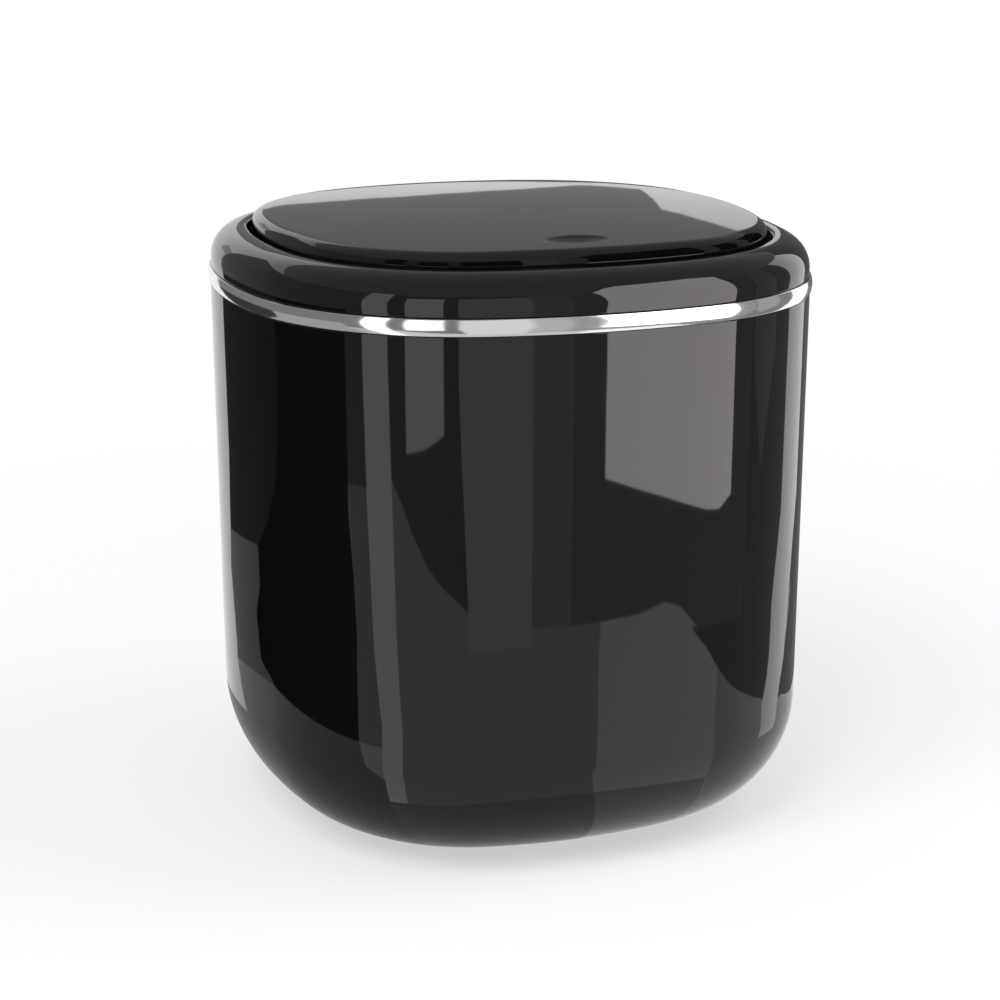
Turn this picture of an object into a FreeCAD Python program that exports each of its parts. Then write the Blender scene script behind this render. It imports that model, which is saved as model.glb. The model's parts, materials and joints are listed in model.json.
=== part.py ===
import FreeCAD, Part
import math
import os
import re
import Sketcher

# Desktop bin with a press-to-open lid.
# Millimetres. The origin is on the table under the middle of the bin, Z is up and the front is -Y.

doc = FreeCAD.newDocument("desktop_bin")
sheet = doc.addObject("Spreadsheet::Sheet", "Sheet")

# Driving sizes
SIZES = (
    ("overall_width", 135.0),
    ("overall_height", 140.0),
    ("side_radius", 120.0),
    ("corner_radius", 52.0),
    # barrel and feet
    ("foot_gap", 1.0),
    ("wall", 2.2),
    ("floor_thickness", 2.5),
    ("wall_draft", 0.5),
    ("base_round", 26.0),
    ("band_proud", 0.5),
    ("foot_radius", 5.0),
    ("foot_recess", 0.6),
    ("foot_spread", 24.0),
    ("foot_fit", 0.1),
    ("gate_radius", 12.0),
    ("gate_depth", 0.6),
    # bright band and collar
    ("band_height", 3.6),
    ("band_crown", 0.35),
    ("band_fit", 0.1),
    ("collar_step", 0.7),
    ("collar_rise", 1.65),
    ("collar_wall", 1.8),
    ("lip_round", 0.9),
    ("lip_flat", 0.2),
    ("lip_wall", 1.6),
    ("skirt_gap", 0.5),
    ("skirt_depth", 12.0),
    ("bead_height", 0.25),
    ("bead_drop", 0.1),
    ("bead_slope", 0.3),
    ("bead_width", 0.8),
    ("mouth_depth", 8.2),
    # inner frame
    ("frame_wall", 2.0),
    ("frame_fit", 0.3),
    ("throat_inset", 25.5),
    ("throat_wall", 1.8),
    ("throat_depth", 12.0),
    ("throat_round", 1.2),
    # lid
    ("lid_inset", 10.5),
    ("lid_gap", 1.4),
    ("lid_rise", 0.2),
    ("lid_height", 4.4),
    ("crown_drop", 1.4),
    ("lid_round", 2.8),
    ("lid_wall", 1.6),
    ("liner_step", 2.5),
    ("liner_wall", 1.6),
    ("liner_drop", 3.4),
    ("liner_rim", 2.6),
    ("liner_rim_wall", 1.4),
    ("dimple_length", 15.0),
    ("dimple_width", 9.5),
    ("dimple_depth", 1.1),
    ("dimple_shift", 1.5),
    ("dimple_pad", 0.7),
    ("dimple_margin", 1.0),
    # hinge
    ("hinge_setback", 7.0),
    ("hinge_drop", 0.4),
    ("pin_radius", 1.0),
    ("pin_fit", 0.05),
    ("pin_press", 0.02),
    ("pin_end", 0.7),
    ("knuckle_wall", 0.75),
    ("knuckle_start", 14.0),
    ("knuckle_width", 5.6),
    ("knuckle_lift", 0.5),
    ("hinge_gap", 0.4),
    ("ear_width", 3.5),
    ("ear_reach", 4.5),
    ("ear_back", 0.2),
    ("ear_foot", 3.0),
    ("ear_sink", 0.5),
    ("coil_turns", 4.0),
    ("coil_gap", 0.48),
    ("coil_wire", 0.7),
    ("coil_leg", 7.0),
    ("coil_side_gap", 1.3),
    ("coil_rest", 0.05),
    ("rest_reach", 7.2),
    ("rest_width", 2.0),
    ("rest_clear", 0.6),
    # latch
    ("latch_setback", 7.0),
    ("tongue_width", 8.4),
    ("tongue_thickness", 3.0),
    ("tongue_length", 18.5),
    ("plate_reach", 5.0),
    ("plate_half", 3.0),
    ("plate_thickness", 1.5),
    ("tongue_screw_out", 2.6),
    ("cam_depth", 1.2),
    ("cam_edge", 1.0),
    ("cam_top", 2.6),
    ("cam_step", 0.6),
    ("heart_length", 4.2),
    ("heart_tip", 0.3),
    ("heart_fit", 0.1),
    ("cam_rest", 6.3),
    ("latch_wire", 0.9),
    ("latch_wire_length", 7.3),
    ("latch_wall", 1.4),
    ("latch_room", 1.0),
    ("wire_fit", 0.08),
    ("wire_stub", 0.9),
    ("wire_clear", 0.3),
    ("wire_gap", 0.1),
    ("housing_below", 3.9),
    ("cavity_below", 2.5),
    ("flange_thickness", 1.6),
    ("flange_overlap", 0.9),
    ("latch_boss_drop", 6.0),
    ("latch_boss_shift", 1.3),
    ("latch_boss_gap", 1.4),
    ("latch_swing", 2.9),
    # fasteners and bumpers
    ("screw_radius", 0.95),
    ("screw_head", 1.5),
    ("screw_head_height", 1.3),
    ("screw_fit", 0.1),
    ("screw_bite", 4.0),
    ("screw_point", 0.8),
    ("screw_end_gap", 0.4),
    ("head_round", 0.5),
    ("cross_half", 0.2),
    ("cross_reach", 0.93),
    ("cross_depth", 0.65),
    ("boss_radius", 2.2),
    ("boss_cap", 1.6),
    ("liner_screw_in", 4.0),
    ("bumper_radius", 3.0),
    ("bumper_gap", 1.8),
)

# Sizes that follow from the driving sizes
TIED = (
    ("half", "overall_width / 2"),
    ("corner_centre", "(half - side_radius + sqrt(2 * (side_radius - corner_radius)^2"
                      " - (half - side_radius)^2)) / 2"),
    ("lid_edge", "overall_height - lid_height"),
    ("lip_top", "lid_edge - lid_rise"),
    ("lip_in", "half - lid_inset + lid_gap"),
    ("shoulder_x", "lip_in + lip_round + lip_flat"),
    ("shoulder_round", "half - collar_step - shoulder_x"),
    ("shoulder_z", "lip_top - shoulder_round"),
    ("band_top", "shoulder_z - collar_rise"),
    ("rim_height", "band_top - band_height"),
    ("ledge_top", "lip_top - mouth_depth"),
    ("ledge_under", "ledge_top - frame_wall"),
    ("skirt_inset", "band_proud + wall + skirt_gap"),
    ("skirt_out", "half - skirt_inset"),
    ("skirt_in", "skirt_out - collar_wall"),
    ("hollow_round", "shoulder_round - collar_wall"),
    ("liner_under", "lip_top - liner_drop"),
    ("liner_top", "liner_under + liner_wall"),
    ("dome_radius", "((half - lid_inset)^2 + crown_drop^2) / (2 * crown_drop)"),
    ("hinge_y", "half - lid_inset - hinge_setback"),
    ("hinge_z", "lip_top - hinge_drop"),
    ("knuckle_radius", "pin_radius + knuckle_wall"),
    ("ear_start", "knuckle_start + knuckle_width + hinge_gap"),
    ("ear_end", "ear_start + ear_width"),
    ("coil_radius", "pin_radius + coil_wire"),
    ("latch_y", "half - lid_inset - latch_setback"),
    ("tongue_end", "liner_under - tongue_length"),
    ("cam_z", "tongue_end + cam_rest"),
    ("wire_y", "latch_y + tongue_thickness / 2 + latch_swing"),
    ("wire_z", "cam_z - latch_wire_length"),
    ("cavity_x", "tongue_width / 2 + latch_room"),
    ("wire_bend", "latch_wire * 1.3"),
    ("cavity_front", "wire_y + wire_bend + wire_gap"),
    ("cavity_back", "latch_y - tongue_thickness / 2 - latch_room"),
    ("latch_boss_x", "cavity_x + latch_wall + boss_radius + latch_boss_gap"),
    ("latch_boss_y", "latch_y + latch_boss_shift"),
    ("latch_boss_z", "ledge_under - latch_boss_drop"),
    ("tongue_screw_x", "tongue_width / 2 + tongue_screw_out"),
    ("frame_screw_inset", "half - skirt_in + screw_head + frame_fit"),
    ("bumper_inset", "(throat_inset + lid_inset - lid_gap) / 2"),
    ("frame_screw_xy", "corner_centre + (corner_radius - frame_screw_inset) / sqrt(2)"),
    ("liner_screw_xy", "corner_centre + (corner_radius - throat_inset - liner_screw_in) / sqrt(2)"),
    ("bumper_xy", "corner_centre + (corner_radius - bumper_inset) / sqrt(2)"),
)
NAMES = {name for name, size in SIZES + TIED}
Z = FreeCAD.Vector(0, 0, 1)
X = FreeCAD.Vector(1, 0, 0)


def fill_sheet():
    """Write every size in its own named cell."""
    for row, (name, size) in enumerate(SIZES + TIED, 1):
        sheet.set("A%d" % row, name)
        sheet.set("B%d" % row, "=" + size if isinstance(size, str) else repr(size))
        sheet.setAlias("B%d" % row, name)
    doc.recompute()


def bind(text):
    """Turn the size names in an expression into references to the sheet."""
    return re.sub(r"[a-z_]+", lambda word: "Sheet." + word[0] if word[0] in NAMES else word[0], text)


def val(text):
    """The number that an expression stands for now."""
    return float(sheet.evalExpression(bind(text)))


def new_body(name):
    body = doc.addObject("PartDesign::Body", name)
    body.Label = name
    return body


def sketch_on(body, plane, offset="0"):
    """A sketch on one of the body's own origin planes, moved along the plane's normal."""
    sk = body.newObject("Sketcher::SketchObject", body.Label + "_sketch")
    support = [f for f in body.Origin.OriginFeatures if f.Role == plane + "_Plane"][0]
    sk.AttachmentSupport = [(support, "")]
    sk.MapMode = "FlatFace"
    sk.setExpression("AttachmentOffset.Base.z", bind(offset))
    return sk


def fix(sk, kind, refs, text):
    """Add a dimension to a sketch and tie it to the sheet."""
    index = sk.addConstraint(Sketcher.Constraint(kind, *refs, val(text)))
    sk.setExpression("Constraints[%d]" % index, bind(text))


def place(sk, geo, point, x, y):
    """Tie one point of a sketch to the origin across and up."""
    for kind, axis, text in (("DistanceX", -2, x), ("DistanceY", -1, y)):
        size = val(text)
        if abs(size) < 1e-9:
            sk.addConstraint(Sketcher.Constraint("PointOnObject", geo, point, axis))
        elif size > 0:
            fix(sk, kind, (-1, 1, geo, point), text)
        else:
            fix(sk, kind, (geo, point, -1, 1), "-(" + text + ")")


def circle(sk, x, y, radius):
    geo = sk.addGeometry(Part.Circle(FreeCAD.Vector(val(x), val(y), 0), Z, val(radius)))
    fix(sk, "Radius", (geo,), radius)
    place(sk, geo, 3, x, y)


def arc_between(start, end, radius):
    """The shorter arc from start to end, turning left."""
    chord = end - start
    side = FreeCAD.Vector(-chord.y, chord.x, 0).normalize()
    centre = (start + end) / 2 + side * math.sqrt(max(radius ** 2 - chord.Length ** 2 / 4, 0))
    first = math.atan2(start.y - centre.y, start.x - centre.x)
    last = math.atan2(end.y - centre.y, end.x - centre.x)
    if last < first:
        last += 2 * math.pi
    return Part.ArcOfCircle(Part.Circle(centre, Z, radius), first, last)


def profile(sk, points):
    """A closed outline. Each entry is x, y and the line to the next point:
    an empty text is straight, a size is an arc turning left, and a minus sign before it turns right."""
    spots = [FreeCAD.Vector(val(x), val(y), 0) for x, y, turn in points]
    ends = []
    for i, (x, y, turn) in enumerate(points):
        here, there = spots[i], spots[(i + 1) % len(spots)]
        if not turn:
            ends.append((sk.addGeometry(Part.LineSegment(here, there)), 1, 2))
            continue
        right = turn.startswith("-")
        size = turn.lstrip("-")
        pair = (there, here) if right else (here, there)
        geo = sk.addGeometry(arc_between(*pair, val(size)))
        ends.append((geo, 2, 1) if right else (geo, 1, 2))
    for i, (geo, start, end) in enumerate(ends):
        after = ends[(i + 1) % len(ends)]
        sk.addConstraint(Sketcher.Constraint("Coincident", geo, end, after[0], after[1]))
    for (geo, start, end), (x, y, turn) in zip(ends, points):
        place(sk, geo, start, x, y)
        if turn:
            fix(sk, "Radius", (geo,), turn.lstrip("-"))


def rectangle(sk, left, right, low, high):
    profile(sk, ((left, low, ""), (right, low, ""), (right, high, ""), (left, high, "")))


def rounded_square(sk, inset, split=False):
    """The bin's outline, drawn some way in from its widest place: four shallow side arcs and four
    corner arcs, each tangent to the next. Split starts the outline in the middle of the right side."""
    side = "(side_radius - (" + inset + "))"
    corner = "(corner_radius - (" + inset + "))"
    centre = val("half - side_radius")
    along = val("corner_centre")
    lean = math.atan2(along, along - centre)
    first = sk.GeometryCount
    sides, corners = [], []
    for quarter in range(4):
        turn = quarter * math.pi / 2
        spin = FreeCAD.Rotation(Z, math.degrees(turn))
        middle = spin.multVec(FreeCAD.Vector(centre, 0, 0))
        start = turn if split and quarter == 0 else turn - lean
        ring = Part.Circle(middle, Z, val(side))
        sides.append(sk.addGeometry(Part.ArcOfCircle(ring, start, turn + lean)))
        ring = Part.Circle(spin.multVec(FreeCAD.Vector(along, along, 0)), Z, val(corner))
        corners.append(sk.addGeometry(Part.ArcOfCircle(ring, turn + lean, turn + math.pi / 2 - lean)))
    if split:
        ring = Part.Circle(FreeCAD.Vector(centre, 0, 0), Z, val(side))
        sides.append(sk.addGeometry(Part.ArcOfCircle(ring, -lean, 0)))
    count = sk.GeometryCount - first
    for i in range(count):
        sk.addConstraint(Sketcher.Constraint("Tangent", first + i, 2, first + (i + 1) % count, 1))
    for group in (sides, corners):
        for geo in group[1:]:
            sk.addConstraint(Sketcher.Constraint("Equal", group[0], geo))
    fix(sk, "Radius", (sides[0],), side)
    fix(sk, "Radius", (corners[0],), corner)
    near, far = "half - side_radius", "side_radius - half"
    for geo, spot in zip(sides, ((near, "0"), ("0", near), (far, "0"), ("0", far))):
        place(sk, geo, 3, *spot)
    if split:
        sk.addConstraint(Sketcher.Constraint("PointOnObject", sides[0], 1, -1))


def feature(kind, body, sk, size, flip, draft):
    step = body.newObject("PartDesign::" + kind, body.Label + "_" + kind.lower())
    step.Profile = sk
    step.setExpression("Length", bind(size))
    step.Reversed = flip
    if draft:
        step.setExpression("TaperAngle", bind(draft))
    sk.Visibility = False
    doc.recompute()
    return step


def pad(body, sk, size, flip=False, draft=""):
    return feature("Pad", body, sk, size, flip, draft)


def cut(body, sk, size, flip=False, draft=""):
    """A pocket. It goes against the sketch's normal unless it is flipped."""
    return feature("Pocket", body, sk, size, flip, draft)


def spin(kind, body, sk, axis="V_Axis"):
    """A revolution or groove about one of the sketch's own axes."""
    step = body.newObject("PartDesign::" + kind, body.Label + "_" + kind.lower())
    step.Profile = sk
    step.ReferenceAxis = (sk, [axis])
    step.Angle = 360
    doc.recompute()
    return step


def round_edges(body, size, chosen, kind="Fillet"):
    """Round, or chamfer, the edges of the body so far that a test picks out."""
    base = body.Tip
    names = ["Edge%d" % i for i, edge in enumerate(base.Shape.Edges, 1) if chosen(edge)]
    step = body.newObject("PartDesign::" + kind, body.Label + "_" + kind.lower())
    step.Base = (base, names)
    step.setExpression("Radius" if kind == "Fillet" else "Size", bind(size))
    doc.recompute()
    return step


def at_height(text):
    """A test for edges that lie flat at one height."""
    height = val(text)

    def test(edge):
        level = all(abs(v.Z - height) < 1e-3 for v in edge.Vertexes)
        return level and edge.BoundBox.ZLength < 1e-2

    return test


def four_spots(text):
    return [(text, text), ("-" + text, text), ("-" + text, "-" + text), (text, "-" + text)]


def sweep_round(body, points):
    """Sweep a cross-section, drawn on the XZ plane, once round the bin's widest outline."""
    spine = sketch_on(body, "XY")
    rounded_square(spine, "0", split=True)
    section = sketch_on(body, "XZ")
    profile(section, points)
    doc.recompute()
    pipe = body.newObject("PartDesign::AdditivePipe", body.Label + "_sweep")
    pipe.Profile = section
    pipe.Spine = (spine, ["Edge%d" % i for i in range(1, len(spine.Shape.Edges) + 1)])
    doc.recompute()
    return pipe


def group(name, template, spots):
    """Separate copies of one solid, kept together as one node."""
    node = doc.addObject("Part::Feature", name)
    node.Label = name
    copies = []
    for x, y, z in spots:
        copy = template.Shape.copy()
        copy.translate(FreeCAD.Vector(val(x), val(y), val(z)))
        copies.append(copy)
    node.Shape = Part.makeCompound(copies)
    return node


# Barrel

def make_barrel():
    body = new_body("barrel")
    sk = sketch_on(body, "XY", "rim_height")
    rounded_square(sk, "band_proud")
    pad(body, sk, "rim_height - foot_gap", True, "-wall_draft")
    sk = sketch_on(body, "XY", "rim_height")
    rounded_square(sk, "band_proud + wall")
    cut(body, sk, "rim_height - foot_gap - floor_thickness", False, "-wall_draft")
    round_edges(body, "base_round - wall", at_height("foot_gap + floor_thickness"))
    round_edges(body, "base_round", at_height("foot_gap"))
    sk = sketch_on(body, "XY", "foot_gap")
    for x, y in four_spots("foot_spread"):
        circle(sk, x, y, "foot_radius + foot_fit")
    cut(body, sk, "foot_recess", True)
    sk = sketch_on(body, "XY", "foot_gap")
    circle(sk, "0", "0", "gate_radius")
    cut(body, sk, "gate_depth", True)
    return body


def make_foot(name, x, y):
    body = new_body(name)
    sk = sketch_on(body, "XY")
    circle(sk, x, y, "foot_radius")
    pad(body, sk, "foot_gap + foot_recess")
    round_edges(body, "foot_gap / 2", at_height("0"))
    return body


# Band and collar

def make_band():
    body = new_body("chrome_band")
    inner = "skirt_out + band_fit"
    edge = "half - band_crown"
    bulge = "(band_height^2 / 4 + band_crown^2) / (2 * band_crown)"
    sweep_round(body, (
        (inner, "rim_height", ""),
        (edge, "rim_height", bulge),
        (edge, "band_top", ""),
        (inner, "band_top", ""),
    ))
    return body


def make_collar():
    body = new_body("collar")
    low = "rim_height - skirt_depth"
    bead = "skirt_out + bead_height"
    bead_top = "rim_height - bead_drop"
    bead_foot = bead_top + " - bead_width - 2 * bead_slope"
    under = "shoulder_z + sqrt(hollow_round^2 - (%s - shoulder_x)^2)"
    wall_x = "lip_in + lip_wall"
    sweep_round(body, (
        ("skirt_out", low, ""),
        ("skirt_out", bead_foot, ""),
        (bead, bead_foot + " + bead_slope", ""),
        (bead, bead_top + " - bead_slope", ""),
        ("skirt_out", bead_top, ""),
        ("skirt_out", "band_top", ""),
        ("shoulder_x + shoulder_round", "band_top", ""),
        ("shoulder_x + shoulder_round", "shoulder_z", "shoulder_round"),
        ("shoulder_x", "lip_top", ""),
        ("lip_in + lip_round", "lip_top", "lip_round"),
        ("lip_in", "lip_top - lip_round", ""),
        ("lip_in", "ledge_top", ""),
        (wall_x, "ledge_top", ""),
        (wall_x, under % ("(" + wall_x + ")"), "-hollow_round"),
        ("skirt_in", under % "skirt_in", ""),
        ("skirt_in", low, ""),
    ))
    sk = sketch_on(body, "XY", "ledge_top")
    for x, y in four_spots("frame_screw_xy"):
        circle(sk, x, y, "boss_radius")
    pad(body, sk, "screw_bite + boss_cap")
    sk = sketch_on(body, "XY", "ledge_top")
    for x, y in four_spots("frame_screw_xy"):
        circle(sk, x, y, "screw_radius + screw_fit / 2")
    cut(body, sk, "screw_bite + screw_end_gap", True)
    return body


# Inner frame

def make_frame():
    body = new_body("inner_frame")
    sk = sketch_on(body, "XY", "ledge_under")
    rounded_square(sk, "skirt_inset + collar_wall + frame_fit")
    rounded_square(sk, "throat_inset")
    pad(body, sk, "frame_wall")
    sk = sketch_on(body, "XY", "ledge_under")
    rounded_square(sk, "throat_inset - throat_wall")
    rounded_square(sk, "throat_inset")
    pad(body, sk, "throat_depth", True)
    reach = val("half - throat_inset + frame_fit")
    high = at_height("ledge_top")
    round_edges(body, "throat_round", lambda e: high(e) and max(e.BoundBox.XMax, -e.BoundBox.XMin) < reach)
    for side in ("", "-"):
        add_ear(body, side)
        sk = sketch_on(body, "XY", "ledge_top")
        middle = side + "(knuckle_start - coil_side_gap - coil_wire / 2)"
        left, right = middle + " - rest_width / 2", middle + " + rest_width / 2"
        rectangle(sk, left, right, "hinge_y - rest_reach", "hinge_y - ear_reach")
        pad(body, sk, "hinge_z - coil_radius - coil_wire / 2 - coil_rest - ledge_top")
        sk = sketch_on(body, "XY", "ledge_under")
        circle(sk, side + "latch_boss_x", "-latch_boss_y", "boss_radius")
        pad(body, sk, "ledge_under - latch_boss_z", True)
    sk = sketch_on(body, "XY", "ledge_top")
    rectangle(sk, "-cavity_x", "cavity_x", "-wire_y", "-cavity_back")
    cut(body, sk, "frame_wall")
    sk = sketch_on(body, "XY", "ledge_top")
    for x, y in four_spots("frame_screw_xy"):
        circle(sk, x, y, "screw_radius + screw_fit")
    cut(body, sk, "frame_wall")
    sk = sketch_on(body, "XY", "latch_boss_z")
    for side in ("", "-"):
        circle(sk, side + "latch_boss_x", "-latch_boss_y", "screw_radius + screw_fit / 2")
    cut(body, sk, "screw_bite + screw_end_gap", True)
    sk = sketch_on(body, "XY", "ledge_top")
    for side in ("", "-"):
        circle(sk, side + "bumper_xy", "-bumper_xy", "bumper_radius + foot_fit")
    cut(body, sk, "foot_recess")
    sk = sketch_on(body, "YZ", "-ear_end - pin_end")
    circle(sk, "hinge_y", "hinge_z", "pin_radius + pin_press")
    cut(body, sk, "2 * (ear_end + pin_end)", True)
    return body


def add_ear(body, side):
    """One hinge ear: a round eye for the pin on a web that leans forward, clear of the lid's rear edge."""
    sk = sketch_on(body, "YZ", side + "ear_start")
    circle(sk, "hinge_y", "hinge_z", "knuckle_radius")
    pad(body, sk, "ear_width", side == "-")
    sk = sketch_on(body, "YZ", side + "ear_start")
    profile(sk, (
        ("hinge_y - ear_reach", "ledge_top - ear_sink", ""),
        ("hinge_y + ear_back", "ledge_top - ear_sink", ""),
        ("hinge_y + ear_back", "hinge_z", ""),
        ("hinge_y - knuckle_radius", "hinge_z", ""),
        ("hinge_y - ear_reach", "ledge_top + ear_foot", ""),
    ))
    pad(body, sk, "ear_width", side == "-")


# Lid

def make_domed_block(name, inset, low, sink, edge):
    """A block in the bin's outline with a gently domed top and a rolled edge, sunk below the lid's top."""
    body = new_body(name)
    sk = sketch_on(body, "XY", low)
    rounded_square(sk, inset)
    pad(body, sk, "overall_height + lid_wall - (" + low + ")")
    sk = sketch_on(body, "XZ")
    top = "overall_height - (" + sink + ")"
    radius = "(dome_radius - (" + sink + "))"
    fall = top + " - " + radius + " + sqrt(" + radius + "^2 - half^2)"
    profile(sk, (
        ("0", top, "-" + radius),
        ("half", fall, ""),
        ("half", "overall_height + 2 * lid_wall", ""),
        ("0", "overall_height + 2 * lid_wall", ""),
    ))
    spin("Groove", body, sk)
    above = val(low + " + lid_wall")
    round_edges(body, edge, lambda e: e.BoundBox.ZMin > above)
    return body


def make_lid_panel():
    inset, low, edge = "lid_inset + lid_wall", "lid_edge - lid_wall", "lid_round - lid_wall"
    core = make_domed_block("lid_core", inset, low, "lid_wall", edge)
    body = make_domed_block("lid_panel", "lid_inset", "lid_edge", "0", "lid_round")
    hollow = body.newObject("PartDesign::Boolean", "lid_panel_hollow")
    hollow.setObjects([core])
    hollow.Type = "Cut"
    doc.recompute()
    sk = sketch_on(body, "XY", "liner_top")
    for x, y in four_spots("liner_screw_xy"):
        circle(sk, x, y, "boss_radius")
    pad(body, sk, "overall_height - crown_drop - liner_top")
    sk = sketch_on(body, "XY", "liner_top")
    for x, y in four_spots("liner_screw_xy"):
        circle(sk, x, y, "screw_radius + screw_fit / 2")
    cut(body, sk, "screw_bite - screw_end_gap", True)
    add_dimple(body)
    return body


def add_dimple(body):
    """An oval thumb dimple above the latch, with the panel thickened under it."""
    sk = sketch_on(body, "XY", "overall_height - crown_drop - lid_wall - dimple_pad")
    side = "(dimple_length / 2 + dimple_margin)"
    low = "-latch_y - dimple_shift - dimple_margin"
    rectangle(sk, "-" + side, side, low, low + " + dimple_width + 2 * dimple_margin")
    pad(body, sk, "lid_wall")
    hollow = body.newObject("PartDesign::SubtractiveEllipsoid", "lid_panel_dimple")
    spread = "sqrt(1 - (2 / 3)^2)"
    hollow.setExpression("Radius1", bind("3 * dimple_depth"))
    hollow.setExpression("Radius2", bind("dimple_length / 2 / " + spread))
    hollow.setExpression("Radius3", bind("dimple_width / 2 / " + spread))
    centre_y = "-latch_y + dimple_width / 2 - dimple_shift"
    hollow.setExpression("Placement.Base.y", bind(centre_y))
    surface = "overall_height - (" + centre_y + ")^2 / (2 * dome_radius)"
    hollow.setExpression("Placement.Base.z", bind(surface + " + 2 * dimple_depth"))
    doc.recompute()


def make_liner():
    body = new_body("lid_liner")
    inset = "lid_inset + liner_step"
    sk = sketch_on(body, "XY", "liner_under")
    rounded_square(sk, inset)
    pad(body, sk, "liner_wall")
    sk = sketch_on(body, "XY", "liner_top")
    rounded_square(sk, inset)
    rounded_square(sk, inset + " + liner_rim_wall")
    pad(body, sk, "liner_rim")
    sk = sketch_on(body, "XY", "liner_top + liner_rim")
    spring_room = "knuckle_start - frame_fit"
    rectangle(sk, "-(" + spring_room + ")", spring_room, "hinge_y - rest_reach - rest_clear", "half")
    slot_near, slot_far = "ear_start - frame_fit", "ear_end + pin_end + 2 * frame_fit"
    slot_low = "hinge_y - ear_reach - 3 * frame_fit"
    rectangle(sk, slot_near, slot_far, slot_low, "half")
    rectangle(sk, "-(" + slot_far + ")", "-(" + slot_near + ")", slot_low, "half")
    cut(body, sk, "liner_rim + liner_wall")
    for side in ("", "-"):
        sk = sketch_on(body, "YZ", side + "knuckle_start")
        circle(sk, "hinge_y", "hinge_z", "knuckle_radius")
        pad(body, sk, "knuckle_width", side == "-")
        sk = sketch_on(body, "YZ", side + "knuckle_start")
        low = "liner_under + knuckle_lift"
        rectangle(sk, "hinge_y - knuckle_radius", "hinge_y + knuckle_radius", low, "hinge_z")
        pad(body, sk, "knuckle_width", side == "-")
        sk = sketch_on(body, "XY", "liner_top")
        circle(sk, side + "tongue_screw_x", "-latch_y", "boss_radius - 2 * screw_fit")
        pad(body, sk, "liner_rim")
    sk = sketch_on(body, "YZ", "-ear_end")
    circle(sk, "hinge_y", "hinge_z", "pin_radius + pin_fit")
    cut(body, sk, "2 * ear_end", True)
    sk = sketch_on(body, "XY", "liner_under")
    for side in ("", "-"):
        circle(sk, side + "tongue_screw_x", "-latch_y", "screw_radius + screw_fit / 2")
    cut(body, sk, "screw_bite - screw_end_gap + screw_fit", True)
    sk = sketch_on(body, "XY", "liner_under")
    for x, y in four_spots("liner_screw_xy"):
        circle(sk, x, y, "screw_radius + screw_fit")
    cut(body, sk, "liner_wall", True)
    return body


# Hinge pin and springs

def make_pin():
    body = new_body("hinge_pin")
    sk = sketch_on(body, "YZ", "-ear_end - pin_end")
    circle(sk, "hinge_y", "hinge_z", "pin_radius")
    pad(body, sk, "2 * (ear_end + pin_end)")
    round_edges(body, "pin_radius * 0.3", lambda e: len(e.Vertexes) == 1, "Chamfer")
    return body


def biarc(p0, t0, p1, t1):
    """Two arcs that leave p0 along t0, reach p1 along t1 and meet in one direction."""
    chord = p1 - p0
    both = t0 + t1
    a = 2 * (1 - t0.dot(t1))
    b = chord.dot(both)
    reach = (-b + math.sqrt(b * b + a * chord.dot(chord))) / a
    joint = (p0 + p1 + (t0 - t1) * reach) / 2
    arcs = []
    for start, tangent, end in ((p0, t0, joint), (joint, None, p1)):
        if tangent is None:
            tangent = (p1 - t1 * reach - joint).normalize()
        line = end - start
        length = line.Length
        line.normalize()
        lean = math.acos(max(-1, min(1, tangent.dot(line))))
        middle = start + (tangent + line).normalize() * (length / 2 / math.cos(lean / 2))
        arcs.append(Part.Arc(start, middle, end).toShape())
    return arcs


def tube(path, radius, start, along):
    """A round wire swept along a path."""
    ring = Part.Wire(Part.makeCircle(radius, start, along))
    return Part.Wire(path).makePipeShell([ring], True, False)


def make_spring(name, side):
    """A torsion spring round the hinge pin. One leg stands on the frame and the other lifts the lid."""
    radius, wire = val("coil_radius"), val("coil_wire")
    pitch = wire + val("coil_gap")
    turns = val("coil_turns") + 0.5
    start = side * val("knuckle_start - coil_side_gap - coil_wire / 2")
    axis = FreeCAD.Vector(start, val("hinge_y"), val("hinge_z"))

    def spot(turn):
        angle = -math.pi / 2 + 2 * math.pi * turn
        return axis + FreeCAD.Vector(-side * pitch * turn, radius * math.cos(angle), radius * math.sin(angle))

    def heading(turn):
        angle = -math.pi / 2 + 2 * math.pi * turn
        speed = 2 * math.pi * radius
        return FreeCAD.Vector(-side * pitch, -speed * math.sin(angle), speed * math.cos(angle)).normalize()

    leg = val("coil_leg")
    first, last = spot(0), spot(turns)
    path = [Part.makeLine(first - heading(0) * leg, first)]
    count = int(round(turns * 4))
    for i in range(count):
        a, b = turns * i / count, turns * (i + 1) / count
        path += biarc(spot(a), heading(a), spot(b), heading(b))
    path.append(Part.makeLine(last, last + heading(turns) * leg))
    node = doc.addObject("Part::Feature", name)
    node.Label = name
    node.Shape = tube(path, wire / 2, first - heading(0) * leg, heading(0))
    line = [p for edge in path for p in edge.discretize(Distance=wire / 2)[1:]]
    step = sum(edge.Length for edge in path) / len(line)
    half_turn = int(math.pi * radius / step)
    least = min((p - q).Length for i, p in enumerate(line) for q in line[i + half_turn:])
    print(name, "least gap to itself", round(least - wire, 3), "mm")
    return node


# Latch

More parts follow.
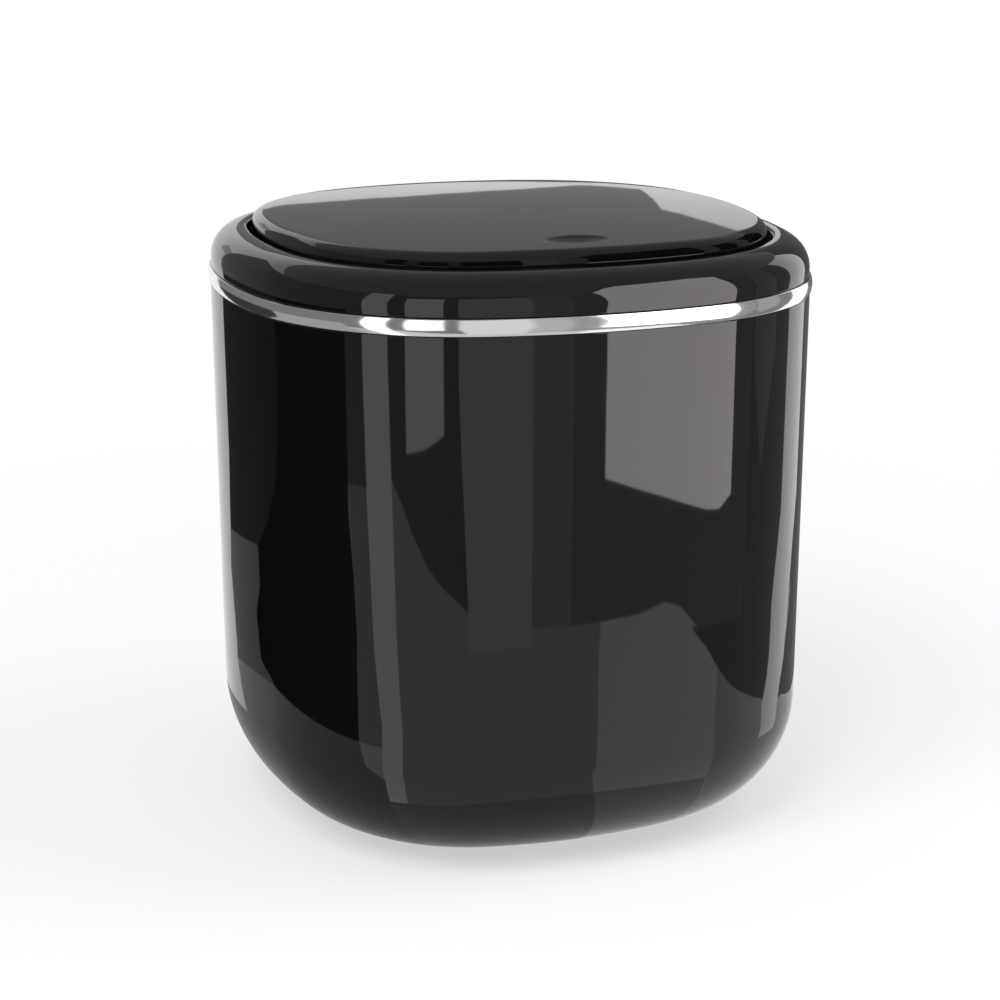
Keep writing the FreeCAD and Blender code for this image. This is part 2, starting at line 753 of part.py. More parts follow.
def make_tongue():
    """The lid's latch tongue. Its face carries a heart-shaped cam that a wire follower runs round."""
    body = new_body("latch_tongue")
    sk = sketch_on(body, "XZ", "latch_y - tongue_thickness / 2")
    rectangle(sk, "-tongue_width / 2", "tongue_width / 2", "tongue_end", "liner_under")
    pad(body, sk, "tongue_thickness")
    sk = sketch_on(body, "XY", "liner_under")
    reach = "(tongue_width / 2 + plate_reach)"
    rectangle(sk, "-" + reach, reach, "-latch_y - plate_half", "-latch_y + plate_half")
    pad(body, sk, "plate_thickness", True)
    sk = sketch_on(body, "XY", "liner_under")
    for side in ("", "-"):
        circle(sk, side + "tongue_screw_x", "-latch_y", "screw_radius + screw_fit")
    cut(body, sk, "plate_thickness")
    sk = sketch_on(body, "XZ", "latch_y + tongue_thickness / 2")
    edge = "(tongue_width / 2 - cam_edge)"
    low, top = "tongue_end - cam_edge", "cam_z + cam_top"
    profile(sk, (
        ("-" + edge, low, ""),
        (edge, low, ""),
        (edge, top + " - cam_step", ""),
        ("tongue_width / 8", top + " + cam_step", ""),
        ("-tongue_width / 8", top, ""),
        ("-" + edge, top, ""),
    ))
    heart(sk)
    cut(body, sk, "cam_depth")
    return body


def heart(sk):
    """The island that holds the follower: a notch between two lobes, and a point below."""
    notch = "cam_z - latch_wire / 2 * sqrt(2) - heart_fit"
    lobe = "tongue_width / 12"
    waist = "tongue_width / 5"
    low = "cam_z - heart_length"
    profile(sk, (
        ("0", notch, ""),
        ("-" + lobe, notch + " + " + lobe, "tongue_width / 7"),
        ("-" + waist, notch + " - heart_tip", ""),
        ("-heart_tip", low, ""),
        ("heart_tip", low, ""),
        (waist, notch + " - heart_tip", "tongue_width / 7"),
        (lobe, notch + " + " + lobe, ""),
    ))


def make_housing():
    body = new_body("latch_housing")
    low = "wire_z - housing_below"
    sk = sketch_on(body, "XY", low)
    rectangle(sk, "-cavity_x - latch_wall", "cavity_x + latch_wall",
              "-cavity_front - latch_wall", "-cavity_back + latch_wall")
    pad(body, sk, "ledge_under - (" + low + ")")
    tall = val("ledge_under - wire_z")
    round_edges(body, "latch_wall * 0.7", lambda e: e.BoundBox.ZLength > tall)
    sk = sketch_on(body, "XY", "ledge_under")
    rectangle(sk, "-cavity_x", "cavity_x", "-cavity_front", "-cavity_back")
    cut(body, sk, "ledge_under - wire_z + cavity_below")
    sk = sketch_on(body, "XY", "latch_boss_z")
    near, far = "(cavity_x + latch_wall - flange_overlap)", "(latch_boss_x + boss_radius)"
    for left, right in ((near, far), ("-" + far, "-" + near)):
        rectangle(sk, left, right, "-latch_boss_y - boss_radius", "-latch_boss_y + boss_radius")
    pad(body, sk, "flange_thickness", True)
    sk = sketch_on(body, "XY", "latch_boss_z")
    for side in ("", "-"):
        circle(sk, side + "latch_boss_x", "-latch_boss_y", "screw_radius + screw_fit")
    cut(body, sk, "flange_thickness")
    sk = sketch_on(body, "XZ", "cavity_front + latch_wall")
    circle(sk, "0", "wire_z", "latch_wire / 2 + wire_fit")
    cut(body, sk, "latch_wall")
    return body


def make_latch_wire():
    """The follower: a wire that pivots in the housing's front wall and reaches into the cam."""
    radius, bend = val("latch_wire") / 2, val("wire_bend")
    low, high = val("wire_z"), val("cam_z")
    leg = -val("wire_y")
    start = -val("cavity_front + latch_wall + wire_stub")
    tip = -val("latch_y + tongue_thickness / 2 - cam_depth + wire_clear")

    def at(y, z):
        return FreeCAD.Vector(0, y, z)

    slant = bend * (1 - math.sqrt(0.5))
    path = [
        Part.makeLine(at(start, low), at(leg - bend, low)),
        Part.Arc(at(leg - bend, low), at(leg - slant, low + slant), at(leg, low + bend)).toShape(),
        Part.makeLine(at(leg, low + bend), at(leg, high - bend)),
        Part.Arc(at(leg, high - bend), at(leg + slant, high - slant), at(leg + bend, high)).toShape(),
        Part.makeLine(at(leg + bend, high), at(tip, high)),
    ]
    node = doc.addObject("Part::Feature", "latch_wire")
    node.Label = "latch_wire"
    node.Shape = tube(path, radius, at(start, low), FreeCAD.Vector(0, 1, 0))
    return node


# Fasteners and bumpers

def make_screw(name, grip):
    """One pan-head screw, point up, with a cross recess in its head."""
    body = new_body(name)
    sk = sketch_on(body, "XZ")
    profile(sk, (
        ("0", "-screw_head_height", ""),
        ("screw_head - head_round", "-screw_head_height", "head_round"),
        ("screw_head", "-screw_head_height + head_round", ""),
        ("screw_head", "0", ""),
        ("screw_radius", "0", ""),
        ("screw_radius", grip + " - screw_point", ""),
        ("0", grip, ""),
    ))
    spin("Revolution", body, sk)
    for wide, deep in (("cross_reach", "cross_half"), ("cross_half", "cross_reach")):
        sk = sketch_on(body, "XY", "-screw_head_height")
        rectangle(sk, "-" + wide, wide, "-" + deep, deep)
        cut(body, sk, "cross_depth", True)
    return body


def make_bumper(name, side):
    body = new_body(name)
    sk = sketch_on(body, "XY", "ledge_top - foot_recess")
    circle(sk, side + "bumper_xy", "-bumper_xy", "bumper_radius")
    pad(body, sk, "liner_under - bumper_gap - ledge_top + foot_recess")
    round_edges(body, "bumper_radius / 3", at_height("liner_under - bumper_gap"))
    return body


def make_nodes():
    nodes = [make_barrel()]
    feet = ("foot_rear_right", "foot_rear_left", "foot_front_left", "foot_front_right")
    for name, (x, y) in zip(feet, four_spots("foot_spread")):
        nodes.append(make_foot(name, x, y))
    nodes += [make_band(), make_collar(), make_frame(), make_lid_panel(), make_liner()]
    nodes += [make_pin(), make_spring("lid_spring_right", 1), make_spring("lid_spring_left", -1)]
    nodes += [make_tongue(), make_housing(), make_latch_wire()]
    nodes += [make_bumper("lid_bumper_right", ""), make_bumper("lid_bumper_left", "-")]
    long_screw = make_screw("long_screw", "frame_wall + screw_bite")
    mid_screw = make_screw("mid_screw", "flange_thickness + screw_bite")
    short_screw = make_screw("short_screw", "liner_wall + screw_bite - 2 * screw_end_gap")
    spots = [(x, y, "ledge_under") for x, y in four_spots("frame_screw_xy")]
    nodes.append(group("frame_screws", long_screw, spots))
    low = "latch_boss_z - flange_thickness"
    spots = [(side + "latch_boss_x", "-latch_boss_y", low) for side in ("", "-")]
    nodes.append(group("latch_screws", mid_screw, spots))
    spots = [(side + "tongue_screw_x", "-latch_y", "liner_under - plate_thickness") for side in ("", "-")]
    nodes.append(group("tongue_screws", short_screw, spots))
    spots = [(x, y, "liner_under") for x, y in four_spots("liner_screw_xy")]
    nodes.append(group("liner_screws", short_screw, spots))
    return nodes


fill_sheet()
nodes = make_nodes()
doc.recompute()
for thing in doc.Objects:
    bad = [word for word in thing.State if word in ("Invalid", "Error")]
    if bad:
        raise RuntimeError("%s is %s" % (thing.Name, bad))
os.makedirs("parts", exist_ok=True)
for node in nodes:
    shape = node.Shape
    if shape.isNull() or not shape.isValid():
        raise RuntimeError("%s has no valid solid" % node.Label)
    print(node.Label, len(shape.Solids), "solids", round(shape.Volume, 1), "mm3")
    shape.exportStep("parts/%s.step" % node.Label)
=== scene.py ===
# %% [markdown]
# A small desktop bin with a press-to-open lid, dressed in Blender.
# The CAD model arrives as a fixed frame: every node is already in its place, in metres, with the
# origin on the table under the middle of the bin and the front towards -Y.
# The four shells that are seen first are swept again here as clean quads with softened edges, and
# the two springs are drawn as wires. The other hidden works keep their CAD meshes and get a finish
# of their own.

# %% Load the frame
import json
import math

import bmesh
import bpy
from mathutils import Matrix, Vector


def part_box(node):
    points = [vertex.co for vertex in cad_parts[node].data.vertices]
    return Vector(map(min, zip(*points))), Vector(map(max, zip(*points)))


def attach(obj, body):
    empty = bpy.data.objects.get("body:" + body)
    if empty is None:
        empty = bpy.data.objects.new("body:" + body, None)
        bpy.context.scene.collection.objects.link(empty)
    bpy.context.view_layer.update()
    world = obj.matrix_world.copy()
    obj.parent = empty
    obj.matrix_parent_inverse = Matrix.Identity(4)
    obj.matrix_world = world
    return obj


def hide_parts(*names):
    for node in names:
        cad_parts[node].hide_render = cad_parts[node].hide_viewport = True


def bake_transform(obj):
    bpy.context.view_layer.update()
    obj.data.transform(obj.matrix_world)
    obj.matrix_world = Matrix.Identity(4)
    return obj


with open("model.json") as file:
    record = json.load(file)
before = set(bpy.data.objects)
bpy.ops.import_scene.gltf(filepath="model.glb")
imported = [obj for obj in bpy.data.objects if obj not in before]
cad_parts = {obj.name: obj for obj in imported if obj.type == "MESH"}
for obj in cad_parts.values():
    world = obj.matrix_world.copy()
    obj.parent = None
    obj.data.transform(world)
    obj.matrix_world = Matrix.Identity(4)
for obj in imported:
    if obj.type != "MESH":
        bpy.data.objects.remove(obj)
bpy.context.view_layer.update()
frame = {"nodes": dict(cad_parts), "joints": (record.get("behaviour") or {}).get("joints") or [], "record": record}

nodes = frame["nodes"]

# %% [markdown]
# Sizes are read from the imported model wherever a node's box gives them, so that the visual model
# follows the CAD if a height changes. What a box can't give, such as a wall or an edge radius, is
# written once in the cell that needs it first, in millimetres, because that is how a moulder would
# speak of it. The skirt of the lid is drawn a little below the lip, lower than in the CAD, because
# only a thin dark line shows between lid and collar on the real bin.

# %% Sizes in millimetres
MM = 0.001
LID_SINK = 0.7
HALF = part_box("chrome_band")[1].x / MM
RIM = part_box("chrome_band")[0].z / MM
BAND_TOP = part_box("chrome_band")[1].z / MM
SKIRT_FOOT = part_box("collar")[0].z / MM
LIP_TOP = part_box("collar")[1].z / MM
LID_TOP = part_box("lid_panel")[1].z / MM
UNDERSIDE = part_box("barrel")[0].z / MM
LID_EDGE = LIP_TOP - LID_SINK
print("rim", round(RIM, 2), "band top", round(BAND_TOP, 2))
print("lip", round(LIP_TOP, 2), "lid edge", round(LID_EDGE, 2), "lid top", round(LID_TOP, 2))

# %% [markdown]
# Seen from above, every ring of the bin is the same soft square: four shallow side arcs and four
# corner arcs that share their tangents. A squircle formula or a bevelled cube would come close, but
# neither keeps the true radii, so the outline is walked by the direction it faces. Moving a point
# along that direction is an exact inset, which is what a wall or a rolled edge needs.

# %% The outline
SIDE_RADIUS, CORNER_RADIUS = 120.0, 52.0
SIDE_STEPS, CORNER_STEPS = 20, 40
side_middle = HALF - SIDE_RADIUS
reach = math.sqrt(2 * (SIDE_RADIUS - CORNER_RADIUS) ** 2 - side_middle ** 2)
corner_middle = (side_middle + reach) / 2
LEAN = math.atan2(corner_middle, corner_middle - side_middle)


def outline(facing, inset):
    """The point of the outline that faces this way, moved in by an inset."""
    quarter = round(facing / (math.pi / 2))
    local = facing - quarter * math.pi / 2
    if abs(local) <= LEAN:
        middle, radius = Vector((side_middle, 0)), SIDE_RADIUS - inset
    else:
        middle = Vector((corner_middle, math.copysign(corner_middle, local)))
        radius = CORNER_RADIUS - inset
    spot = middle + radius * Vector((math.cos(local), math.sin(local)))
    turn = quarter * math.pi / 2
    cosine, sine = math.cos(turn), math.sin(turn)
    return Vector((spot.x * cosine - spot.y * sine, spot.x * sine + spot.y * cosine))


FACINGS = []
for quarter in range(4):
    turn = quarter * math.pi / 2
    corner = math.pi / 2 - 2 * LEAN
    FACINGS += [turn - LEAN + 2 * LEAN * i / SIDE_STEPS for i in range(SIDE_STEPS)]
    FACINGS += [turn + LEAN + corner * i / CORNER_STEPS for i in range(CORNER_STEPS)]
print("outline points", len(FACINGS), "corner centre", round(corner_middle, 2))

# %% [markdown]
# A shell is a stack of rings, skinned with quads. Each ring has the same number of points, so the
# skin is one regular grid that subdivides and shades without pinches. The profile of a wall is
# written as a polygon whose corners each carry a rounding radius: that one idea gives the large base
# round, the shoulder of the collar and the hair-thin edge breaks that catch the light.

# %% Rings, profiles and skins
ARC_STEP, SHARP_ANGLE = math.radians(6), math.radians(40)
LEAST_STEPS = 3


def soften(corners, closed):
    """A polygon of (inset, height, radius) with each corner rounded to its radius."""
    points = []
    for i, (inset, height, radius) in enumerate(corners):
        spot = Vector((inset, height))
        ends = not closed and i in (0, len(corners) - 1)
        if ends or radius == 0:
            points.append(spot)
            continue
        before = Vector(corners[i - 1][:2]) - spot
        after = Vector(corners[(i + 1) % len(corners)][:2]) - spot
        before.normalize()
        after.normalize()
        half_angle = before.angle(after) / 2
        middle = spot + (before + after).normalized() * (radius / math.sin(half_angle))
        first = spot + before * (radius / math.tan(half_angle)) - middle
        last = spot + after * (radius / math.tan(half_angle)) - middle
        sweep = math.pi - 2 * half_angle
        steps = max(LEAST_STEPS, math.ceil(sweep / ARC_STEP))
        for step in range(steps + 1):
            share = step / steps
            low = math.sin((1 - share) * sweep) / math.sin(sweep)
            high = math.sin(share * sweep) / math.sin(sweep)
            points.append(middle + first * low + last * high)
    return points


def outline_ring(inset, height):
    return [(*outline(facing, inset), height) for facing in FACINGS]


def round_ring(radius, height):
    return [(radius * math.cos(facing), radius * math.sin(facing), height) for facing in FACINGS]


def skin(name, rings, closed):
    """A mesh object through a stack of rings. An open stack is capped at both ends."""
    work = bmesh.new()
    rows = [[work.verts.new(Vector(spot) * MM) for spot in ring] for ring in rings]
    count = len(FACINGS)
    for i in range(len(rows) if closed else len(rows) - 1):
        low, high = rows[i], rows[(i + 1) % len(rows)]
        for k in range(count):
            after = (k + 1) % count
            work.faces.new((low[k], low[after], high[after], high[k]))
    if not closed:
        for row in (rows[0], rows[-1]):
            middle = work.verts.new(sum((v.co for v in row), Vector()) / count)
            for k in range(count):
                work.faces.new((row[k], row[(k + 1) % count], middle))
    bmesh.ops.recalc_face_normals(work, faces=work.faces)
    mesh = bpy.data.meshes.new(name)
    work.to_mesh(mesh)
    work.free()
    mesh.shade_smooth()
    mesh.set_sharp_from_angle(angle=SHARP_ANGLE)
    thing = bpy.data.objects.new(name, mesh)
    bpy.context.scene.collection.objects.link(thing)
    print(name, len(mesh.polygons), "faces")
    return thing


def stand_for(thing, node, body):
    """The piece takes a CAD node's place and its body."""
    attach(thing, body)
    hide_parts(node)


# %% [markdown]
# The barrel is one gloss moulding. Its wall leans in by half a degree towards the base, so that it
# can leave the mould, and turns under in a large round. The rim's edge is broken by a small round:
# with the band above it, that leaves the thin dark seam line that the eye reads as two parts. A
# shallow round recess under the middle marks where the plastic was let in.

# %% Barrel
DRAFT = math.tan(math.radians(0.5))
BAND_PROUD, WALL, FLOOR = 0.5, 2.2, 2.5
BASE_ROUND = 26.0
RIM_BREAK = 0.4
GATE_RADIUS, GATE_DEPTH = 12.0, 0.6
GATE_BREAK, GATE_BREAK_RISE = 0.2, 0.15
CORE_RADIUS, CORE_SPREAD = 1.5, 6.0
MIDDLE_INSET = 40.0
floor_top = UNDERSIDE + FLOOR


def barrel_rings():
    foot = BAND_PROUD + (RIM - UNDERSIDE) * DRAFT
    inner_foot = BAND_PROUD + WALL + (RIM - floor_top) * DRAFT
    wall = soften((
        (MIDDLE_INSET, UNDERSIDE, 0),
        (foot, UNDERSIDE, BASE_ROUND),
        (BAND_PROUD, RIM, RIM_BREAK),
        (BAND_PROUD + WALL, RIM, RIM_BREAK),
        (inner_foot, floor_top, BASE_ROUND - WALL),
        (MIDDLE_INSET, floor_top, 0),
    ), False)
    gate_top = UNDERSIDE + GATE_DEPTH
    gate = (
        (CORE_RADIUS, gate_top),
        (CORE_SPREAD, gate_top),
        (GATE_RADIUS - GATE_BREAK, gate_top),
        (GATE_RADIUS, gate_top - GATE_BREAK_RISE),
        (GATE_RADIUS, UNDERSIDE + GATE_BREAK_RISE),
        (GATE_RADIUS + GATE_BREAK, UNDERSIDE),
    )
    rings = [round_ring(*spot) for spot in gate]
    rings += [outline_ring(*spot) for spot in wall]
    rings += [round_ring(GATE_RADIUS, floor_top), round_ring(CORE_RADIUS, floor_top)]
    return rings


barrel = skin("barrel_shell", barrel_rings(), False)
stand_for(barrel, "barrel", "bin")

# %% [markdown]
# The bright band is a separate hoop between barrel and collar. Its face is crowned by a third of a
# millimetre, which is enough to make a chromed strip gather the whole room into one bright line.

# %% Bright band
BAND_CROWN, BAND_BACK = 0.35, 3.1
BAND_BREAK, BAND_STEPS = 0.15, 12


def band_rings():
    tall = BAND_TOP - RIM
    bulge = (tall ** 2 / 4 + BAND_CROWN ** 2) / (2 * BAND_CROWN)
    span = math.asin(tall / 2 / bulge)
    face = []
    for i in range(BAND_STEPS + 1):
        lift = span * (2 * i / BAND_STEPS - 1)
        face.append((bulge * (1 - math.cos(lift)), (RIM + BAND_TOP) / 2 + bulge * math.sin(lift), 0))
    face[0] = (*face[0][:2], BAND_BREAK)
    face[-1] = (*face[-1][:2], BAND_BREAK)
    back = ((BAND_BACK, BAND_TOP, 0), (BAND_BACK, RIM, 0))
    return [outline_ring(*spot) for spot in soften((*face, *back), True)]


band = skin("bright_band", band_rings(), True)
stand_for(band, "chrome_band", "collar")

# %% [markdown]
# The collar lifts off with the lid. Outside it rolls over in one shoulder to the mouth, and inside a
# skirt with a snap bead goes down into the barrel. Both are one moulding, so they are one closed
# profile here, and the sweep gives the piece its real wall.

# %% Collar
COLLAR_STEP, SHOULDER, LIP_BREAK = 0.7, 7.3, 0.9
MOUTH_INSET, LIP_BACK, SKIRT_IN, SKIRT_OUT = 9.35, 7.5, 5.0, 3.2
LEDGE_DROP, LIP_WALL, SHOULDER_WALL = 8.2, 1.85, 2.7
BEAD_HEIGHT, BEAD_DROP, BEAD_SLOPE, BEAD_WIDTH = 0.25, 0.1, 0.3, 0.8
EDGE_BREAK, BEAD_BREAK, INNER_ROUND = 0.3, 0.2, 0.8
ledge_top = LIP_TOP - LEDGE_DROP
bead_top = RIM - BEAD_DROP
bead_foot = bead_top - BEAD_WIDTH - 2 * BEAD_SLOPE


def collar_rings():
    bead = SKIRT_OUT - BEAD_HEIGHT
    profile = soften((
        (SKIRT_OUT, SKIRT_FOOT, EDGE_BREAK),
        (SKIRT_OUT, bead_foot, 0),
        (bead, bead_foot + BEAD_SLOPE, BEAD_BREAK),
        (bead, bead_top - BEAD_SLOPE, BEAD_BREAK),
        (SKIRT_OUT, bead_top, 0),
        (SKIRT_OUT, BAND_TOP, 0),
        (COLLAR_STEP, BAND_TOP, RIM_BREAK),
        (COLLAR_STEP, LIP_TOP, SHOULDER),
        (MOUTH_INSET, LIP_TOP, LIP_BREAK),
        (MOUTH_INSET, ledge_top, 0),
        (LIP_BACK, ledge_top, 0),
        (LIP_BACK, LIP_TOP - LIP_WALL, EDGE_BREAK),
        (SKIRT_IN, LIP_TOP - SHOULDER_WALL, INNER_ROUND),
        (SKIRT_IN, SKIRT_FOOT, EDGE_BREAK),
    ), True)
    return [outline_ring(*spot) for spot in profile]


collar = skin("collar_shell", collar_rings(), True)
stand_for(collar, "collar", "collar")

# %% [markdown]
# The lid is a shallow dome with a rolled edge and an oval thumb dimple over the latch. A grid cut by
# a Boolean would leave ragged normals in a mirror finish, so the rings start in the dimple and spread
# until they are the outline: the dimple's rim then follows a ring, and the dome stays smooth.

# %% Lid
LID_INSET, LID_ROUND, LID_WALL = 10.5, 2.8, 1.6
CROWN_DROP = 1.4
dome_radius = ((HALF - LID_INSET) ** 2 + CROWN_DROP ** 2) / (2 * CROWN_DROP)
DIMPLE_LONG, DIMPLE_WIDE, DIMPLE_DEEP = 7.5, 4.75, 1.1
DIMPLE_Y, DIMPLE_SOFT = -46.75, 0.12
BOWL_TALL, BOWL_LIFT = 3, 2
dimple_spread = 1 / math.sqrt(1 - (BOWL_LIFT / BOWL_TALL) ** 2)
DIMPLE_SHARES = (0.1, 0.25, 0.4, 0.55, 0.7, 0.8, 0.87, 0.92, 0.96, 1.0, 1.04, 1.08)
SPREAD_RINGS, SPREAD_POWER, ROLL_RINGS = 40, 1.4, 14
UNDER_SHARES = (1.0, 0.8, 0.6, 0.4, 0.2, 0.03)
SKIRT_RISE = 0.6


def dome_height(x, y):
    return LID_TOP - dome_radius + math.sqrt(dome_radius ** 2 - x * x - y * y)


def lid_height(x, y):
    """The dome, sunk by the dimple: the cap of an ellipsoid, three depths tall and lifted by two."""
    dome = dome_height(x, y)
    along = x / (DIMPLE_LONG * dimple_spread)
    across = (y - DIMPLE_Y) / (DIMPLE_WIDE * dimple_spread)
    room = 1 - along ** 2 - across ** 2
    if room <= 0:
        return dome
    bowl = dome_height(0, DIMPLE_Y) + DIMPLE_DEEP * (BOWL_LIFT - BOWL_TALL * math.sqrt(room))
    near = max(DIMPLE_SOFT - abs(dome - bowl), 0) / DIMPLE_SOFT
    return min(dome, bowl) - near ** 2 * DIMPLE_SOFT / 4


def lid_rings():
    slope = (HALF - LID_INSET - LID_ROUND) / dome_radius
    roll_top = math.pi / 2 - slope
    shoulder = [outline(f, LID_INSET + LID_ROUND * (1 - math.cos(roll_top))) for f in FACINGS]
    dimple = Vector((0, DIMPLE_Y))
    ovals = []
    for spot in shoulder:
        away = spot - dimple
        turn = math.atan2(away.y / DIMPLE_WIDE, away.x / DIMPLE_LONG)
        ovals.append(Vector((DIMPLE_LONG * math.cos(turn), DIMPLE_WIDE * math.sin(turn))))
    plan = []
    for share in DIMPLE_SHARES:
        plan.append([dimple + oval * share for oval in ovals])
    brink = plan[-1]
    for i in range(SPREAD_RINGS):
        share = ((i + 1) / SPREAD_RINGS) ** SPREAD_POWER
        plan.append([start.lerp(spot, share) for start, spot in zip(brink, shoulder)])
    rings = [[(spot.x, spot.y, lid_height(*spot)) for spot in ring] for ring in plan]
    drops = [dome_height(*spot) - LID_ROUND * math.sin(roll_top) for spot in shoulder]
    for i in range(1, ROLL_RINGS + 1):
        angle = roll_top * (1 - i / ROLL_RINGS)
        inset = LID_INSET + LID_ROUND * (1 - math.cos(angle))
        lift = LID_ROUND * math.sin(angle)
        rings.append([(*outline(f, inset), drop + lift) for f, drop in zip(FACINGS, drops)])
    edge = soften((
        (LID_INSET, LID_EDGE + SKIRT_RISE, 0),
        (LID_INSET, LID_EDGE, EDGE_BREAK),
        (LID_INSET + LID_WALL, LID_EDGE, EDGE_BREAK),
        (LID_INSET + LID_WALL, LID_EDGE + SKIRT_RISE, 0),
    ), False)
    rings += [outline_ring(*spot) for spot in edge]
    under = [outline(f, LID_INSET + LID_WALL + SKIRT_RISE) for f in FACINGS]
    for share in UNDER_SHARES:
        ring = [spot * share for spot in under]
        rings.append([(spot.x, spot.y, dome_height(*spot) - LID_WALL) for spot in ring])
    return rings


lid = skin("lid_shell", lid_rings(), False)
stand_for(lid, "lid_panel", "lid")

# %% [markdown]
# Two torsion springs sit on the hinge pin and throw the lid open. Each is one wire: a straight leg on
# the frame, four and a half turns, and a straight leg under the lid. A curve with a round bevel draws
# it from its true helix, and it is then made a mesh.

# %% Springs
WIRE, COIL_RADIUS, COIL_PITCH, COIL_TURNS, COIL_LEG = 0.7, 1.7, 1.18, 4.5, 7.0
COIL_START, COIL_STEPS = 12.35, 32
WIRE_SHARP = math.radians(50)
hinge = [joint for joint in frame["joints"] if joint["name"] == "lid_hinge"][0]
hinge_y, hinge_z = (value / MM for value in hinge["pos_m"][1:])


def coil_spot(side, turn):
    angle = 2 * math.pi * turn - math.pi / 2
    along = side * (COIL_START - COIL_PITCH * turn)
    return Vector((along, hinge_y + COIL_RADIUS * math.cos(angle), hinge_z + COIL_RADIUS * math.sin(angle)))


def coil_heading(side, turn):
    small = 0.001
    return (coil_spot(side, turn + small) - coil_spot(side, turn - small)).normalized()


def make_spring(name, side, node):
    steps = round(COIL_TURNS * COIL_STEPS)
    path = [coil_spot(side, COIL_TURNS * i / steps) for i in range(steps + 1)]
    path.insert(0, path[0] - coil_heading(side, 0) * COIL_LEG)
    path.append(path[-1] + coil_heading(side, COIL_TURNS) * COIL_LEG)
    wire = bpy.data.curves.new(name, "CURVE")
    wire.dimensions = "3D"
    wire.bevel_depth = WIRE / 2 * MM
    wire.bevel_resolution = 4
    wire.use_fill_caps = True
    line = wire.splines.new("POLY")
    line.points.add(len(path) - 1)
    for point, spot in zip(line.points, path):
        point.co = (*(spot * MM), 1)
    drawn = bpy.data.objects.new(name + "_line", wire)
    mesh = bpy.data.meshes.new_from_object(drawn)
    bpy.data.objects.remove(drawn)
    mesh.shade_smooth()
    mesh.set_sharp_from_angle(angle=WIRE_SHARP)
    spring = bpy.data.objects.new(name, mesh)
    bpy.context.scene.collection.objects.link(spring)
    coil_spot(side, 0) * MM
    coil_spot(side, COIL_TURNS) * MM
    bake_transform(spring)
    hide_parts(node)
    print(name, len(mesh.polygons), "faces")
    return spring


springs = [
    make_spring("spring_right", 1, "lid_spring_right"),
    make_spring("spring_left", -1, "lid_spring_left"),
]

# %% [markdown]
# Finishes are node trees, and most of what a node tree does is arithmetic. The Flow class wraps a
# socket so that arithmetic can be written as arithmetic: every operator adds one Math node. Anything
# that isn't a sum comes from one method of Finish, which sets a node's options first and then its
# inputs.

# %% Node helpers
class Flow:
    """A value on its way through a node tree."""

    def __init__(self, finish, socket):
        self.finish = finish
        self.socket = socket

    def math(self, operation, first, second):
        return self.finish.node("ShaderNodeMath", {"operation": operation}, {0: first, 1: second})

    def __add__(self, other):
        return self.math("ADD", self, other)

    def __radd__(self, other):
        return self.math("ADD", other, self)

    def __sub__(self, other):
        return self.math("SUBTRACT", self, other)

    def __rsub__(self, other):
        return self.math("SUBTRACT", other, self)

    def __mul__(self, other):
        return self.math("MULTIPLY", self, other)

    def __rmul__(self, other):
        return self.math("MULTIPLY", other, self)


class Finish:
    """A node tree with one shader at its end, for a material or for the world."""

    def __init__(self, name, shader="ShaderNodeBsdfPrincipled", world=False):
        store = bpy.data.worlds if world else bpy.data.materials
        end = "ShaderNodeOutputWorld" if world else "ShaderNodeOutputMaterial"
        self.holder = store.new(name)
        self.holder.use_nodes = True
        self.tree = self.holder.node_tree
        self.tree.nodes.clear()
        surface = self.node(shader)
        self.shader = surface.socket.node
        self.node(end, None, {"Surface": surface})

    def node(self, kind, settings=None, inputs=None, output=0):
        node = self.tree.nodes.new(kind)
        for key, value in (settings or {}).items():
            setattr(node, key, value)
        for key, value in (inputs or {}).items():
            self.feed(node.inputs[key], value)
        return Flow(self, node.outputs[output]) if node.outputs else None

    def feed(self, socket, value):
        if isinstance(value, Flow):
            self.tree.links.new(value.socket, socket)
        else:
            socket.default_value = value

    def set(self, **sockets):
        for key, value in sockets.items():
            self.feed(self.shader.inputs[key.replace("_", " ").title()], value)

    def place(self):
        return self.node("ShaderNodeTexCoord", output=3)

    def noise(self, scale, detail=2.0, stretch=(1, 1, 1)):
        spot = self.node("ShaderNodeMapping", None, {"Vector": self.place(), "Scale": stretch})
        return self.node("ShaderNodeTexNoise", None, {"Vector": spot, "Scale": scale, "Detail": detail})

    def between(self, share, first, second):
        settings = {"data_type": "RGBA"}
        return self.node("ShaderNodeMix", settings, {0: share, 6: (*first, 1), 7: (*second, 1)}, 2)

    def bump(self, height, distance, strength=1.0):
        inputs = {"Height": height, "Distance": distance, "Strength": strength}
        return self.node("ShaderNodeBump", None, inputs)

    def tell(self):
        print(self.holder.name, len(self.tree.nodes), "nodes")


# %% [markdown]
# Gloss black ABS is nearly a mirror in front of a very dark body. What tells it from glass is small:
# a faint swell of the surface from the mould, and a haze of fine rubbing that changes the roughness
# from place to place. Both are low noise, far too weak to see as a pattern.

# %% Gloss black
gloss = Finish("gloss_black")
haze = gloss.noise(38.0, 4.0)
rub = gloss.noise(900.0, 3.0, (1, 1, 0.2))
gloss.set(base_color=gloss.between(haze, (0.0030, 0.0028, 0.0029), (0.0044, 0.0042, 0.0044)))
gloss.set(roughness=0.02 + 0.02 * haze + 0.012 * rub)
gloss.set(normal=gloss.bump(gloss.noise(60.0, 1.0), 0.00002))
gloss.shader.inputs["IOR"].default_value = 1.5
gloss.tell()

# %% [markdown]
# The band is electroplated plastic: a true mirror with a very slight grey, a little softer than
# polished metal because the plating follows the moulding under it.

